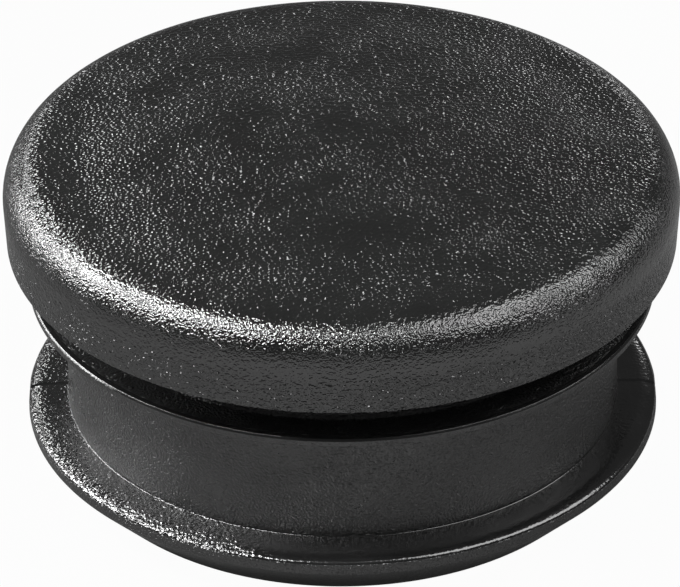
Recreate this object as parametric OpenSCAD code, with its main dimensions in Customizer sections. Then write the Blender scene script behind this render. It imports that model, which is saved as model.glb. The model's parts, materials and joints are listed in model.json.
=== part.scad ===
// Tube insert plug. A domed head covers the cut end of a round tube. The hollow neck below it
// carries two sealing lips that hold in the tube's bore, and the foot tapers to lead them in.
// The whole plug is one moulding, turned about Z. It stands on the rim of its foot, at Z = 0.

/* [Tube] */
// Outside diameter of the tube, which the head matches
tube_d = 40; // [32:0.5:60]
// Thickness of the tube's wall
tube_wall = 1.5; // [1:0.1:2.5]

/* [Head] */
// Height of the head's side wall, from the underside to the widest circle
head_wall_h = 2.9; // [2:0.1:6]
// Radius of the rounded edge between the side wall and the dome
head_edge_r = 2.5; // [1:0.1:5]
// Rise of the dome above the rounded edge
dome_rise = 0.9; // [0.2:0.1:3]
// Lean of the side wall, which narrows to the underside, in degrees
wall_draft = 3; // [0:0.5:6]
// Thickness of the head over the hollow, at its centre
head_t = 3.2; // [2:0.1:5]
// Rounding of the side wall's lower edge
head_rim_round = 0.15; // [0.05:0.05:0.6]

/* [Neck] */
// Room between the neck and the tube's bore
neck_gap = 2; // [1.2:0.1:4]
// Thickness of the hollow neck's wall, at the mouth of the hollow
neck_wall = 2; // [1.2:0.1:4]
// Length of the insert, from the head's underside to the foot's end
insert_l = 14.4; // [10.5:0.1:30]
// Height of the groove between the head and the upper lip
groove_h = 2.55; // [1:0.05:5]
// Fillet where the neck meets the head and the lips
root_fillet = 0.15; // [0.05:0.05:0.45]
// Lean of the hollow's wall, which narrows upwards, in degrees
core_draft = 1; // [0:0.25:3]
// Fillet round the hollow's ceiling
core_fillet = 1.5; // [0.5:0.1:4]

/* [Lips] */
// How far the lower lip stands out past the tube's bore
lower_grip = 0.4; // [0.1:0.05:1]
// How far the upper lip stands out past the tube's bore
upper_grip = 0.15; // [0:0.05:0.6]
// Height of the lower lip's rim
lower_rim_h = 0.7; // [0.4:0.05:1.5]
// Height of the upper lip, which is square
upper_lip_h = 0.5; // [0.5:0.05:1.5]
// Width of the bevel round the top of the lower lip
lip_bevel_w = 0.65; // [0.4:0.05:1]
// Drop of that bevel from the lower lip's flat top to its rim
lip_bevel_h = 0.3; // [0.1:0.05:0.5]
// Rounding of each rim's upper edge
lip_top_round = 0.2; // [0.1:0.05:0.3]
// Rounding of each rim's lower edge
lip_low_round = 0.1; // [0.05:0.01:0.15]

/* [Foot] */
// Height of the tapered foot below the lower lip
foot_h = 2.7; // [1:0.1:6]
// How far the foot draws in from the lower lip to its end
foot_lead = 2.65; // [1:0.05:3.5]
// Rounding of the edges of the foot's end
foot_round = 0.2; // [0.05:0.05:0.4]

/* [Hidden] */
$fn = 180;
plug_colour = [0.13, 0.13, 0.13];

// Pieces that the arcs of the section are drawn with
edge_steps = 10;
dome_steps = 6;
fillet_steps = 3;

// Radii, all measured from the tube's bore and the head
bore_r = tube_d / 2 - tube_wall;
upper_lip_r = bore_r + upper_grip;
lower_lip_r = bore_r + lower_grip;
foot_r = lower_lip_r - foot_lead;
neck_r = bore_r - neck_gap;
core_r = neck_r - neck_wall;
head_r = tube_d / 2;

// Heights above the foot's end: the lower lip counts up from it, the upper lip down from the head
lower_rim_top = foot_h + lower_rim_h;
lower_lip_top = lower_rim_top + lip_bevel_h;
head_low = insert_l;
upper_lip_top = head_low - groove_h;
upper_lip_low = upper_lip_top - upper_lip_h;
head_widest = head_low + head_wall_h;
crown = head_widest + head_edge_r + dome_rise;

// The dome is one arc over the axis, tangent to the rounded edge
edge_centre = [head_r - head_edge_r, head_widest];
dome_reach = (pow(edge_centre[0], 2) + pow(dome_rise, 2)) / (2 * dome_rise);
dome_r = head_edge_r + dome_reach;
dome_centre = [0, crown - dome_r];
dome_slope = asin(edge_centre[0] / dome_reach);

// The side wall runs on from the rounded edge down to the underside
wall_top_h = head_wall_h - head_edge_r * sin(wall_draft);
head_low_r = edge_centre[0] + head_edge_r * cos(wall_draft) - wall_top_h * tan(wall_draft);

// The hollow stops short of the crown by the head's thickness
core_top = crown - head_t;
core_top_r = core_r - core_top * tan(core_draft);

function unit(v) = v / norm(v);

function arc(centre, r, from, to, steps) =
    [for (i = [0:steps]) let (a = from + (to - from) * i / steps) centre + r * [cos(a), sin(a)]];

// Corner p of an outline, between its neighbours before and after, rounded to radius r
function rounded(before, p, after, r) =
    let (
        u = unit(before - p),
        v = unit(after - p),
        half = acos(u * v) / 2,
        centre = p + unit(u + v) * r / sin(half),
        first = p + u * r / tan(half) - centre,
        last = p + v * r / tan(half) - centre,
        from = atan2(first[1], first[0]),
        turn = (atan2(last[1], last[0]) - from + 540) % 360 - 180
    )
    arc(centre, r, from, from + turn, fillet_steps);

function at(corner) = [corner[0], corner[1]];

// Outline through corners given as [radius, height, rounding]; a rounding of 0 stays sharp
function outline(corners) =
    let (n = len(corners))
    [
        for (i = [0:n - 1])
            let (c = corners[i], before = at(corners[(i + n - 1) % n]), after = at(corners[(i + 1) % n]))
            each c[2] > 0 ? rounded(before, at(c), after, c[2]) : [at(c)]
    ];

function sharp(points) = [for (p = points) [p[0], p[1], 0]];

function past_first(points) = [for (i = [1:len(points) - 1]) points[i]];

foot_corners = [
    [core_r, 0, foot_round],
    [foot_r, 0, foot_round]
];
lower_lip_corners = [
    [lower_lip_r, foot_h, lip_low_round],
    [lower_lip_r, lower_rim_top, lip_top_round],
    [lower_lip_r - lip_bevel_w, lower_lip_top, 0],
    [neck_r, lower_lip_top, root_fillet]
];
upper_lip_corners = [
    [neck_r, upper_lip_low, root_fillet],
    [upper_lip_r, upper_lip_low, lip_low_round],
    [upper_lip_r, upper_lip_top, lip_top_round],
    [neck_r, upper_lip_top, root_fillet]
];
groove_corners = [
    [neck_r, head_low, root_fillet],
    [head_low_r, head_low, head_rim_round]
];
head_points = concat(
    arc(edge_centre, head_edge_r, -wall_draft, 90 - dome_slope, edge_steps),
    past_first(arc(dome_centre, dome_r, 90 - dome_slope, 90, dome_steps))
);
core_corners = [
    [0, core_top, 0],
    [core_top_r, core_top, core_fillet]
];

module plug_section() {
    polygon(outline(concat(
        foot_corners,
        lower_lip_corners,
        upper_lip_corners,
        groove_corners,
        sharp(head_points),
        core_corners
    )));
}

module tube_plug() {
    color(plug_colour) rotate_extrude() plug_section();
}

tube_plug();
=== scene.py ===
# Tube insert plug: one black plastic moulding with a grained domed head, standing on a white table.
import json
from math import asin, atan2, cos, exp, hypot, pi, radians, sin, sqrt, tan

import bmesh
import bpy
from mathutils import Matrix, Vector, noise


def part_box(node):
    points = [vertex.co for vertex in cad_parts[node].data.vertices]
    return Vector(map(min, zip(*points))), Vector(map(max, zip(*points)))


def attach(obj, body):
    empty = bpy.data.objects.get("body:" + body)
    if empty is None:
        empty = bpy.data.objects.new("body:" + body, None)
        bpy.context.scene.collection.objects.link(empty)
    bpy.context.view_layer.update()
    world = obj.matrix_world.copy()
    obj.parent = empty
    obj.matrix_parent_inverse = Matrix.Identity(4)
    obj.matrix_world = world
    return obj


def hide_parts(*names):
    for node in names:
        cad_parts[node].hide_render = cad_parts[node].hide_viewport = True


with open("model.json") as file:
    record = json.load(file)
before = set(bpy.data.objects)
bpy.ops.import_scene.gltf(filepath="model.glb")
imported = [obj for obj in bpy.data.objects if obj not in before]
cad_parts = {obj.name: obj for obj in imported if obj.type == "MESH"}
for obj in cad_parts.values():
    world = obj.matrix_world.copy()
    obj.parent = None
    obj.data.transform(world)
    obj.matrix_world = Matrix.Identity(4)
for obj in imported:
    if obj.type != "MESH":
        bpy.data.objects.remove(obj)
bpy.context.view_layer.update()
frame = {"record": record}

MM = 0.001
PLUG_NODE = "tube_plug"

# Sizes that the frame gives, in metres
mounts = {mount["name"]: mount for mount in frame["record"]["mounts"]}
low_corner, high_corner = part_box(PLUG_NODE)
HEAD_R = (high_corner[0] - low_corner[0]) / 2
CROWN = high_corner[2]
HEAD_LOW = mounts["head_seat"]["pos_m"][2]
LOWER_LIP_R = mounts["lower_lip"]["dims"]["r_mm"] * MM

# Sizes of the moulding that the frame doesn't give
HEAD_EDGE_R = 2.5 * MM
DOME_RISE = 0.9 * MM
WALL_DRAFT = radians(3)
HEAD_T = 3.2 * MM
UPPER_LIP_R = 18.65 * MM
UPPER_LIP_H = 0.5 * MM
UPPER_LIP_CHAMFER_W = 0.10 * MM
UPPER_LIP_CHAMFER_H = 0.135 * MM
NECK_R = 16.5 * MM
NECK_WALL = 2.0 * MM
GROOVE_H = 2.55 * MM
LOWER_RIM_H = 0.7 * MM
LIP_BEVEL_W = 0.65 * MM
LIP_BEVEL_H = 0.3 * MM
FOOT_H = 2.7 * MM
FOOT_LEAD = 2.65 * MM
CORE_DRAFT = radians(1)

# Heights above the foot's end that follow from them
LOWER_RIM_TOP = FOOT_H + LOWER_RIM_H
LOWER_LIP_TOP = LOWER_RIM_TOP + LIP_BEVEL_H
UPPER_LIP_TOP = HEAD_LOW - GROOVE_H
UPPER_LIP_LOW = UPPER_LIP_TOP - UPPER_LIP_H
HEAD_WIDEST = CROWN - DOME_RISE - HEAD_EDGE_R
CORE_TOP = CROWN - HEAD_T

# Roundings of the section's corners
FOOT_ROUND = 0.2 * MM
LIP_LOW_ROUND = 0.1 * MM
LIP_TOP_ROUND = 0.32 * MM
BEVEL_ROUND = 2.0 * MM
CHAMFER_ROUND = 0.04 * MM
ROOT_FILLET = 0.15 * MM
NECK_BASE_FILLET = 0.07 * MM
HEAD_RIM_ROUND = 0.15 * MM
CORE_FILLET = 1.5 * MM

# Fineness of the mesh
TURN_STEPS = 288
EDGE_ARC_STEPS = 16
DOME_ARC_STEPS = 8
ROUND_STEPS = 5
OUTSIDE_GRID = 0.35 * MM
INSIDE_GRID = 1.4 * MM
MERGE_DISTANCE = 0.0001 * MM

# Sink in the dome over the neck's wall: uneven, and deepest on the left
SINK_R = NECK_R - NECK_WALL / 2
SINK_W = 1.5 * MM
SINK_DEPTH = 0.05 * MM
SINK_PATCHES_PER_METRE = 90
SINK_UNEVENNESS = 1.6
SINK_DEEPEST = radians(188)
SINK_DEEP_SPREAD = radians(28)
SINK_DEEPENING = 2.2

# Seam where the halves of the mould met
SEAM_HALF_W = 0.15 * MM
SEAM_DEPTH = 0.22 * MM
NECK_SEAM_DEPTH = 0.05 * MM
SEAM_FLAT_HALF_W = 1.4 * MM
SEAM_END = 0.3 * MM
SEAM_MARGIN = 0.001 * MM
SEAM_LINE_MARGIN = 0.00001 * MM


def draw_start(bm, r, z):
    """First point of the section."""
    return bm.verts.new((r, 0, z))


def draw_line(bm, start, r, z):
    """Straight stretch of the section from start to radius r and height z."""
    end = bmesh.ops.extrude_vert_indiv(bm, verts=[start])["verts"][0]
    end.co = (r, 0, z)
    return end


def draw_arc(bm, start, centre, angle, steps):
    """Round stretch of the section, turned about a centre given as radius and height."""
    spun = bmesh.ops.spin(
        bm, geom=[start], cent=(centre[0], 0, centre[1]), axis=(0, -1, 0), angle=angle, steps=steps,
    )
    return next(part for part in spun["geom_last"] if isinstance(part, bmesh.types.BMVert))


def draw_section(bm):
    """Half section from the hollow's ceiling down the core, round the foot and up to the crown."""
    roundings = []

    def corner(start, r, z, rounding):
        end = draw_line(bm, start, r, z)
        roundings.append((end, rounding))
        return end

    core_r = NECK_R - NECK_WALL
    pen = draw_start(bm, 0, CORE_TOP)
    pen = corner(pen, core_r - CORE_TOP * tan(CORE_DRAFT), CORE_TOP, CORE_FILLET)
    pen = corner(pen, core_r, 0, FOOT_ROUND)
    pen = corner(pen, LOWER_LIP_R - FOOT_LEAD, 0, FOOT_ROUND)

    pen = corner(pen, LOWER_LIP_R, FOOT_H, LIP_LOW_ROUND)
    pen = corner(pen, LOWER_LIP_R, LOWER_RIM_TOP, LIP_TOP_ROUND)
    pen = corner(pen, LOWER_LIP_R - LIP_BEVEL_W, LOWER_LIP_TOP, BEVEL_ROUND)
    pen = corner(pen, NECK_R, LOWER_LIP_TOP, NECK_BASE_FILLET)

    pen = corner(pen, NECK_R, UPPER_LIP_LOW, ROOT_FILLET)
    pen = corner(pen, UPPER_LIP_R, UPPER_LIP_LOW, LIP_LOW_ROUND)
    pen = corner(pen, UPPER_LIP_R, UPPER_LIP_TOP - UPPER_LIP_CHAMFER_H, CHAMFER_ROUND)
    pen = corner(pen, UPPER_LIP_R - UPPER_LIP_CHAMFER_W, UPPER_LIP_TOP, CHAMFER_ROUND)
    pen = corner(pen, NECK_R, UPPER_LIP_TOP, ROOT_FILLET)

    edge_centre = (HEAD_R - HEAD_EDGE_R, HEAD_WIDEST)
    wall_top_r = edge_centre[0] + HEAD_EDGE_R * cos(WALL_DRAFT)
    wall_top = HEAD_WIDEST - HEAD_EDGE_R * sin(WALL_DRAFT)
    wall_low_r = wall_top_r - (wall_top - HEAD_LOW) * tan(WALL_DRAFT)
    pen = corner(pen, NECK_R, HEAD_LOW, ROOT_FILLET)
    pen = corner(pen, wall_low_r, HEAD_LOW, HEAD_RIM_ROUND)
    pen = draw_line(bm, pen, wall_top_r, wall_top)

    dome_reach = (edge_centre[0] ** 2 + DOME_RISE ** 2) / (2 * DOME_RISE)
    dome_slope = asin(edge_centre[0] / dome_reach)
    pen = draw_arc(bm, pen, edge_centre, pi / 2 - dome_slope + WALL_DRAFT, EDGE_ARC_STEPS)
    crown = draw_arc(bm, pen, (0, CROWN - HEAD_EDGE_R - dome_reach), dome_slope, DOME_ARC_STEPS)
    crown.co.x = 0
    return roundings


def round_corners(bm, roundings):
    """Rounds each corner of the section to its own radius."""
    for corner, radius in roundings:
        sides = [edge.other_vert(corner).co - corner.co for edge in corner.link_edges]
        reach = radius / tan(sides[0].angle(sides[1]) / 2)
        bmesh.ops.bevel(
            bm, geom=[corner], offset=reach, offset_type="OFFSET", segments=ROUND_STEPS, profile=0.5,
            affect="VERTICES", material=-1,
        )


def is_inside(co):
    """True on the hollow core, which needs only a coarse mesh."""
    return hypot(co.x, co.y) < SINK_R and co.z < CROWN - HEAD_T / 2


def refine_section(bm):
    """Splits long stretches of the section, so that the turned mesh has even faces."""
    for edge in list(bm.edges):
        middle = (edge.verts[0].co + edge.verts[1].co) / 2
        grid = INSIDE_GRID if is_inside(middle) else OUTSIDE_GRID
        cuts = int(edge.calc_length() / grid)
        if cuts:
            bmesh.ops.subdivide_edges(bm, edges=[edge], cuts=cuts)


def turn_section(bm):
    """Turns the section about Z into one closed skin."""
    bmesh.ops.spin(
        bm, geom=bm.verts[:] + bm.edges[:], cent=(0, 0, 0), axis=(0, 0, 1), angle=2 * pi,
        steps=TURN_STEPS, use_merge=True,
    )
    bmesh.ops.remove_doubles(bm, verts=bm.verts[:], dist=MERGE_DISTANCE)
    bmesh.ops.recalc_face_normals(bm, faces=bm.faces[:])


def press_sink_ring(bm):
    """Shallow sink in the dome over the neck's wall, where the thick plastic shrank."""
    for vert in bm.verts:
        co = vert.co
        if co.z > HEAD_WIDEST:
            away = (hypot(co.x, co.y) - SINK_R) / SINK_W
            turn = atan2(co.y, co.x) % (2 * pi) - SINK_DEEPEST
            deeper = SINK_DEEPENING * exp(-(turn / SINK_DEEP_SPREAD) ** 2)
            patches = SINK_UNEVENNESS * noise.noise(co * SINK_PATCHES_PER_METRE)
            co.z -= SINK_DEPTH * max(0, 1 + deeper + patches) * exp(-away * away)


def flatten_seam_rims(bm):
    """Small flats on the lower lip's rim at both ends of the seam."""
    limit = sqrt(LOWER_LIP_R ** 2 - SEAM_FLAT_HALF_W ** 2)
    for vert in bm.verts:
        if vert.co.z < LOWER_LIP_TOP and abs(vert.co.x) > limit:
            vert.co.x = limit if vert.co.x > 0 else -limit


def is_seamed(co):
    """True on the outside of the insert, between the foot's end and the head."""
    return SEAM_END < co.z < HEAD_LOW - SEAM_END and not is_inside(co)


def is_on_lip(co):
    """True from the lower lip's top down, where the seam is deepest."""
    return co.z < LOWER_LIP_TOP + NECK_BASE_FILLET


def cut_seam(bm):
    """Fine seam on the X axis, where the halves of the mould met round the neck and the lips."""
    for side in (-SEAM_HALF_W, SEAM_HALF_W):
        faces = [face for face in bm.faces if is_seamed(face.calc_center_median())]
        edges = {edge for face in faces for edge in face.edges}
        verts = {vert for face in faces for vert in face.verts}
        bmesh.ops.bisect_plane(
            bm, geom=[*verts, *edges, *faces], plane_co=(0, side, 0), plane_no=(0, 1, 0),
            dist=MERGE_DISTANCE,
        )
    bm.normal_update()
    middle = [vert for vert in bm.verts if abs(vert.co.y) < SEAM_LINE_MARGIN and is_seamed(vert.co)]
    for vert in middle:
        depth = SEAM_DEPTH if is_on_lip(vert.co) else NECK_SEAM_DEPTH
        vert.co -= depth * vert.normal

    # The edges that run along the seam stay sharp
    reach = SEAM_HALF_W + SEAM_MARGIN
    for edge in bm.edges:
        if all(is_seamed(vert.co) and abs(vert.co.y) < reach for vert in edge.verts):
            edge.smooth = abs(edge.verts[0].co.y - edge.verts[1].co.y) > SEAM_MARGIN


# Finishes of the mould, and where one ends and the next begins
HEAD_FINISH, INSERT_FINISH, LOWER_LIP_FINISH, UPPER_LIP_FINISH = range(4)
FINISH_MARGIN = 0.02 * MM
GRAINED_RIM_DROP = 0.1 * MM
SMOOTH_EDGE_W = 0.3 * MM


def finish_of(co):
    """Which finish the mould gave the surface at this point."""
    r = hypot(co.x, co.y)
    if co.z > HEAD_LOW + FINISH_MARGIN and r > NECK_R or co.z > CROWN - HEAD_T / 2:
        return HEAD_FINISH
    if abs(co.y) < SEAM_HALF_W and is_seamed(co) and is_on_lip(co):
        return UPPER_LIP_FINISH
    if r > NECK_R and LOWER_RIM_TOP - GRAINED_RIM_DROP < co.z < LOWER_LIP_TOP + NECK_BASE_FILLET:
        return LOWER_LIP_FINISH
    chamfer_low = UPPER_LIP_TOP - UPPER_LIP_CHAMFER_H - FINISH_MARGIN
    if r > UPPER_LIP_R - SMOOTH_EDGE_W and chamfer_low < co.z < UPPER_LIP_TOP + FINISH_MARGIN:
        return UPPER_LIP_FINISH
    return INSERT_FINISH


def build_plug(materials):
    """The whole moulding as one closed mesh, with its finishes in the order of the materials."""
    bm = bmesh.new()
    round_corners(bm, draw_section(bm))
    refine_section(bm)
    turn_section(bm)
    press_sink_ring(bm)
    flatten_seam_rims(bm)
    cut_seam(bm)
    for face in bm.faces:
        face.smooth = True
        face.material_index = finish_of(face.calc_center_median())
    mesh = bpy.data.meshes.new("tube_plug_moulding")
    bm.to_mesh(mesh)
    bm.free()
    for material in materials:
        mesh.materials.append(material)
    plug = bpy.data.objects.new("tube_plug_moulding", mesh)
    bpy.context.collection.objects.link(plug)
    return plug


def object_coords(tree):
    """Place on the object, which all patterns follow."""
    return tree.nodes.new("ShaderNodeTexCoord").outputs["Object"]


def noise_pattern(tree, coords, scale, detail):
    """Soft noise from 0 to 1, with a linked scale."""
    pattern = tree.nodes.new("ShaderNodeTexNoise")
    pattern.inputs["Detail"].default_value = detail
    tree.links.new(coords, pattern.inputs["Vector"])
    tree.links.new(scale, pattern.inputs["Scale"])
    return pattern.outputs["Fac"]


def combine(tree, operation, first, second):
    """Math on two linked values."""
    result = tree.nodes.new("ShaderNodeMath")
    result.operation = operation
    tree.links.new(first, result.inputs[0])
    tree.links.new(second, result.inputs[1])
    return result.outputs[0]


def multiply(tree, value, factor):
    """A linked value times a plain number."""
    result = tree.nodes.new("ShaderNodeMath")
    result.operation = "MULTIPLY"
    result.inputs[1].default_value = factor
    tree.links.new(value, result.inputs[0])
    return result.outputs[0]


def blend(tree, share, first, last):
    """Goes over from the first value to the last one as the share grows."""
    mixed = tree.nodes.new("ShaderNodeMix")
    mixed.data_type = "FLOAT"
    tree.links.new(share, mixed.inputs["Factor"])
    tree.links.new(first, mixed.inputs["A"])
    tree.links.new(last, mixed.inputs["B"])
    return mixed.outputs["Result"]


def spread(tree, value, start, end, low, high):
    """Rises from low to high while the value goes from start to end."""
    result = tree.nodes.new("ShaderNodeMapRange")
    result.inputs["From Min"].default_value = start
    result.inputs["From Max"].default_value = end
    result.inputs["To Min"].default_value = low
    result.inputs["To Max"].default_value = high
    tree.links.new(value, result.inputs["Value"])
    return result.outputs["Result"]


# Black plastic, whose colour, gloss and grain vary a little in soft clouds
DEEP_BLACK = (0.0085, 0.0085, 0.0085, 1)
PALE_BLACK = (0.0115, 0.0115, 0.0115, 1)
PLASTIC_IOR = 2.06
CLOUDS_PER_MM = 0.25
CLOUDS_DETAIL = 3.0
CLOUDS_LOW = 0.3
CLOUDS_HIGH = 0.7
ROUGHNESS_SPREAD = 0.04
DEPTH_SPREAD = 0.25

# Roughness of each finish
HEAD_ROUGHNESS = 0.15
INSERT_ROUGHNESS = 0.30
LOWER_LIP_ROUGHNESS = 0.16
UPPER_LIP_ROUGHNESS = 0.18

# Grains as pips to the millimetre, share of finer pips and depth
HEAD_TOP_GRAIN = (4.3, 0.15, 0.075 * MM)
HEAD_EDGE_GRAIN = (5.0, 0.45, 0.092 * MM)
HEAD_WALL_GRAIN = (4.0, 0.35, 0.30 * MM)
INSERT_GRAIN = (6.8, 0.3, 0.145 * MM)
LOWER_LIP_GRAIN = (4.8, 0.25, 0.095 * MM)
FRONT_LIP_GRAIN = (4.8, 0.25, 0.16 * MM)
WORN_LIP_GRAIN = (4.8, 0.25, 0.018 * MM)
UPPER_LIP_GRAIN = (6.5, 0.3, 0.008 * MM)
FINE_PIPS_RATIO = 2.3

# Where one grain goes over to the next: up the head's rounded edge, and across the lower lip
HEAD_WALL_RANGE = ("Z", HEAD_WIDEST - 0.9 * MM, HEAD_WIDEST + 0.4 * MM)
HEAD_EDGE_RANGE = ("Z", HEAD_WIDEST + 1.9 * MM, HEAD_WIDEST + 2.6 * MM)
LIP_FRONT_RANGE = ("X", -14.0 * MM, -9.0 * MM)
LIP_WORN_RANGE = ("X", -6.5 * MM, -3.5 * MM)


def grain_group(name, cratered):
    """Mould grain of rounded pips or round craters, as a height from 0 to 1, and the clouds in it."""
    group = bpy.data.node_groups.new(name, "ShaderNodeTree")
    for socket in ("Pips per metre", "Fine share", "Clouds per metre"):
        group.interface.new_socket(socket, in_out="INPUT", socket_type="NodeSocketFloat")
    for socket in ("Height", "Clouds"):
        group.interface.new_socket(socket, in_out="OUTPUT", socket_type="NodeSocketFloat")
    inputs = group.nodes.new("NodeGroupInput").outputs
    outputs = group.nodes.new("NodeGroupOutput").inputs
    coords = object_coords(group)

    pips_scale = inputs["Pips per metre"]
    if cratered:
        craters = group.nodes.new("ShaderNodeTexVoronoi")
        group.links.new(coords, craters.inputs["Vector"])
        group.links.new(pips_scale, craters.inputs["Scale"])
        pips = combine(group, "MULTIPLY", craters.outputs["Distance"], craters.outputs["Distance"])
    else:
        pips = noise_pattern(group, coords, pips_scale, 0)
    fine_pips = noise_pattern(group, coords, multiply(group, pips_scale, FINE_PIPS_RATIO), 0)
    clouds = noise_pattern(group, coords, inputs["Clouds per metre"], CLOUDS_DETAIL)

    group.links.new(blend(group, inputs["Fine share"], pips, fine_pips), outputs["Height"])
    group.links.new(clouds, outputs["Clouds"])
    return group


def grain_height(tree, group, pips_per_mm, fine_share, depth):
    """The grain's height in metres, and the clouds in it."""
    grain = tree.nodes.new("ShaderNodeGroup")
    grain.node_tree = group
    grain.inputs["Pips per metre"].default_value = pips_per_mm / MM
    grain.inputs["Fine share"].default_value = fine_share
    grain.inputs["Clouds per metre"].default_value = CLOUDS_PER_MM / MM
    clouds = grain.outputs["Clouds"]
    shallow = depth * (1 - DEPTH_SPREAD)
    deep = depth * (1 + DEPTH_SPREAD)
    patchy_depth = spread(tree, clouds, CLOUDS_LOW, CLOUDS_HIGH, shallow, deep)
    return combine(tree, "MULTIPLY", grain.outputs["Height"], patchy_depth), clouds


def share_along(tree, axis, start, end):
    """Grows from 0 to 1 between two places on an axis of the plug."""
    place = tree.nodes.new("ShaderNodeSeparateXYZ")
    tree.links.new(object_coords(tree), place.inputs[0])
    return spread(tree, place.outputs[axis], start, end, 0, 1)


def plastic(name, roughness, grain, *changes):
    """Black plastic with its own grain. A change is an axis, two places on it and the next grain."""
    material = bpy.data.materials.new(name)
    material.use_nodes = True
    tree = material.node_tree
    shader = tree.nodes["Principled BSDF"]
    shader.inputs["IOR"].default_value = PLASTIC_IOR

    height, clouds = grain_height(tree, *grain)
    for axis, start, end, next_grain in changes:
        next_height, _ = grain_height(tree, *next_grain)
        height = blend(tree, share_along(tree, axis, start, end), height, next_height)
    bump = tree.nodes.new("ShaderNodeBump")
    bump.inputs["Strength"].default_value = 1.0
    bump.inputs["Distance"].default_value = 1.0
    tree.links.new(height, bump.inputs["Height"])
    tree.links.new(bump.outputs["Normal"], shader.inputs["Normal"])

    tint = tree.nodes.new("ShaderNodeValToRGB")
    deep_end, pale_end = tint.color_ramp.elements
    deep_end.position = CLOUDS_LOW
    deep_end.color = DEEP_BLACK
    pale_end.position = CLOUDS_HIGH
    pale_end.color = PALE_BLACK
    tree.links.new(clouds, tint.inputs["Fac"])
    tree.links.new(tint.outputs["Color"], shader.inputs["Base Color"])

    glossy = roughness - ROUGHNESS_SPREAD
    dull = roughness + ROUGHNESS_SPREAD
    gloss = spread(tree, clouds, CLOUDS_LOW, CLOUDS_HIGH, glossy, dull)
    tree.links.new(gloss, shader.inputs["Roughness"])
    return material


def plug_materials():
    """The four finishes, in the order of their numbers."""
    pips = grain_group("mould_pips", False)
    craters = grain_group("mould_craters", True)
    head_wall = (pips, *HEAD_WALL_GRAIN)
    to_head_edge = (*HEAD_WALL_RANGE, (pips, *HEAD_EDGE_GRAIN))
    to_head_top = (*HEAD_EDGE_RANGE, (craters, *HEAD_TOP_GRAIN))
    lip = (pips, *LOWER_LIP_GRAIN)
    to_front_lip = (*LIP_FRONT_RANGE, (pips, *FRONT_LIP_GRAIN))
    to_worn_lip = (*LIP_WORN_RANGE, (pips, *WORN_LIP_GRAIN))
    return [
        plastic("grained_head_plastic", HEAD_ROUGHNESS, head_wall, to_head_edge, to_head_top),
        plastic("matt_insert_plastic", INSERT_ROUGHNESS, (pips, *INSERT_GRAIN)),
        plastic("grained_lip_plastic", LOWER_LIP_ROUGHNESS, lip, to_front_lip, to_worn_lip),
        plastic("smooth_rim_plastic", UPPER_LIP_ROUGHNESS, (pips, *UPPER_LIP_GRAIN)),
    ]


# White table. Light falls on its grey paint, which carries painted shade: darker towards the back left and
# paler towards the front right, so the plug's near reflections are darker on its left.
TABLE_HALF_W = 3.0
TABLE_GLOW = 0.97
TABLE_ROUGHNESS = 0.9
TABLE_LIT_SIDE = (0.55, -0.83, 0)
TABLE_SHADE_REACH = 60 * MM
TABLE_LIT_GREY = 0.29
TABLE_PAINTED_SHADE_GREY = 0.09

# How much of its white the table shows in the plug's reflections, near and far
NEAR_MIRRORED = 600 * MM
NEAR_MIRRORED_SHARE = 0.05
FAR_MIRRORED = 3000 * MM


def table_paint():
    """White to the camera and in far reflections, and in near ones grey paint that takes shadows and
    carries painted shade, darker towards the back left.
    """
    material = bpy.data.materials.new("white_table_painted_shade")
    material.use_nodes = True
    tree = material.node_tree
    paint = tree.nodes["Principled BSDF"]
    paint.inputs["Roughness"].default_value = TABLE_ROUGHNESS
    paint.inputs["Specular IOR Level"].default_value = 0.0
    reach = tree.nodes.new("ShaderNodeVectorMath")
    reach.operation = "DOT_PRODUCT"
    reach.inputs[1].default_value = TABLE_LIT_SIDE
    tree.links.new(object_coords(tree), reach.inputs[0])
    # Painted shade: the grey darkens towards the back left and pales towards the front right, and the
    # plug's near reflections show it
    grey = spread(
        tree, reach.outputs["Value"], -TABLE_SHADE_REACH, TABLE_SHADE_REACH, TABLE_PAINTED_SHADE_GREY, TABLE_LIT_GREY,
    )
    tree.links.new(grey, paint.inputs["Base Color"])

    ray = tree.nodes.new("ShaderNodeLightPath").outputs
    far = spread(tree, ray["Ray Length"], NEAR_MIRRORED, FAR_MIRRORED, NEAR_MIRRORED_SHARE, 1)
    mirrored = combine(tree, "MAXIMUM", ray["Is Glossy Ray"], ray["Is Transmission Ray"])
    mirrored_far = combine(tree, "MULTIPLY", mirrored, far)
    seen = combine(tree, "MAXIMUM", ray["Is Camera Ray"], mirrored_far)

    glow = tree.nodes.new("ShaderNodeEmission")
    surface = tree.nodes.new("ShaderNodeMixShader")
    tree.links.new(multiply(tree, seen, TABLE_GLOW), surface.inputs["Fac"])
    tree.links.new(paint.outputs["BSDF"], surface.inputs[1])
    tree.links.new(glow.outputs["Emission"], surface.inputs[2])
    tree.links.new(surface.outputs["Shader"], tree.nodes["Material Output"].inputs["Surface"])
    return material


def build_table():
    """Table under the plug, wide enough to fill the picture."""
    bm = bmesh.new()
    bmesh.ops.create_grid(bm, x_segments=1, y_segments=1, size=TABLE_HALF_W)
    mesh = bpy.data.meshes.new("white_table")
    bm.to_mesh(mesh)
    bm.free()
    mesh.materials.append(table_paint())
    table = bpy.data.objects.new("white_table", mesh)
    bpy.context.collection.objects.link(table)


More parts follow.
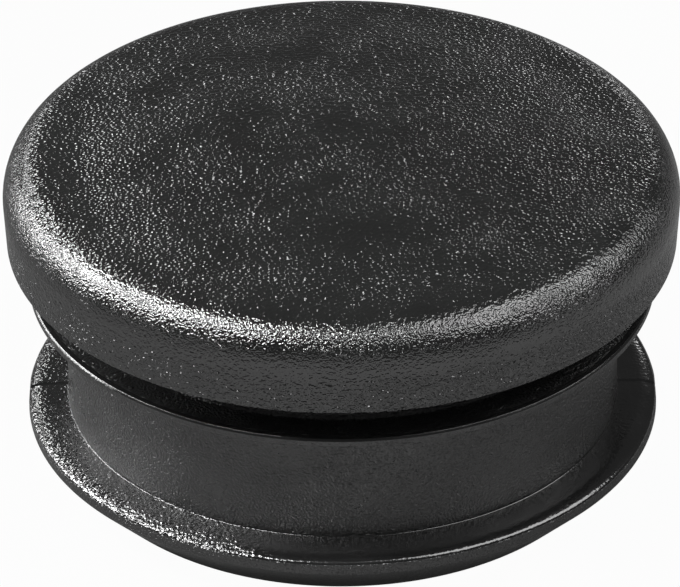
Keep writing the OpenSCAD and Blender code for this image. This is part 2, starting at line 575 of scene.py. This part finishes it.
# Softboxes as direction from the plug, way of the long side, length, width and radiance. The left one
# makes the bright band round the head's edge, the right one the soft band across from it. Those behind
# make the dome sparkle, and the low one draws the bright line on the upper lip.
SOFTBOXES = {
    "left_softbox": ((-0.675, 0.03, 0.735), (0.395, -0.755, 0.523), 0.76, 0.10, 22.5),
    "left_back_softbox": ((-0.46, 0.76, 0.45), (1, 0, 0), 0.11, 0.11, 9.5),
    "right_softbox": ((0.61, -0.08, 0.79), (-0.395, -0.755, 0.523), 0.50, 0.28, 3.4),
    "right_back_softbox": ((0.27, 0.94, 0.19), (1, 0, 0), 0.06, 0.06, 6.0),
    "low_left_softbox": ((-0.916, 0.336, 0.22), (-0.208, -0.87, 0.446), 0.40, 0.04, 9.7),
}
LAMP_DISTANCE = 0.5
ROOM_GREY = (0.06, 0.06, 0.06, 1)


def add_softbox(name, direction, along, length, width, radiance):
    """Lamp that faces the crown of the plug, with its long side along the given way."""
    lamp = bpy.data.lights.new(name, "AREA")
    lamp.shape = "RECTANGLE"
    lamp.size = length
    lamp.size_y = width
    lamp.energy = radiance * pi * length * width
    lamp_object = bpy.data.objects.new(name, lamp)
    bpy.context.collection.objects.link(lamp_object)
    away = Vector(direction).normalized()
    across = away.cross(Vector(along)).normalized()
    place = Matrix((across.cross(away), across, away)).transposed().to_4x4()
    place.translation = Vector((0, 0, CROWN)) + away * LAMP_DISTANCE
    lamp_object.matrix_world = place


def light_scene():
    """Dark grey room with the softboxes in it."""
    world = bpy.data.worlds.new("grey_room")
    world.use_nodes = True
    world.node_tree.nodes["Background"].inputs["Color"].default_value = ROOM_GREY
    bpy.context.scene.world = world
    for name, softbox in SOFTBOXES.items():
        add_softbox(name, *softbox)


# The camera stands in front and above, fitted to the photograph's outlines
CAMERA_ELEVATION = radians(32.19)
CAMERA_ROLL = radians(-0.32)
CAMERA_DISTANCE = 18 * HEAD_R
PIXELS_PER_HEAD_R = 334.9
PICTURE_W = 680
SENSOR_W = 36.0
AIM_SIDE = -0.124 * MM
AIM_HEIGHT = 9.975 * MM


def place_camera():
    """Camera at the photograph's viewing angle, a little rolled as the photograph is."""
    camera = bpy.data.cameras.new("photo_camera")
    camera.sensor_width = SENSOR_W
    camera.lens = PIXELS_PER_HEAD_R * CAMERA_DISTANCE / HEAD_R / PICTURE_W * SENSOR_W
    camera_object = bpy.data.objects.new("photo_camera", camera)
    bpy.context.collection.objects.link(camera_object)
    back = Vector((0, -cos(CAMERA_ELEVATION), sin(CAMERA_ELEVATION)))
    side = Vector((1, 0, 0))
    up = back.cross(side)
    right = side * cos(CAMERA_ROLL) + up * sin(CAMERA_ROLL)
    upright = up * cos(CAMERA_ROLL) - side * sin(CAMERA_ROLL)
    place = Matrix((right, upright, back)).transposed().to_4x4()
    place.translation = Vector((AIM_SIDE, 0, AIM_HEIGHT)) + back * CAMERA_DISTANCE
    camera_object.matrix_world = place
    bpy.context.scene.camera = camera_object


plug = build_plug(plug_materials())
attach(plug, "root")
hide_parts(PLUG_NODE)
build_table()
light_scene()
place_camera()
bpy.context.scene.view_settings.view_transform = "Standard"
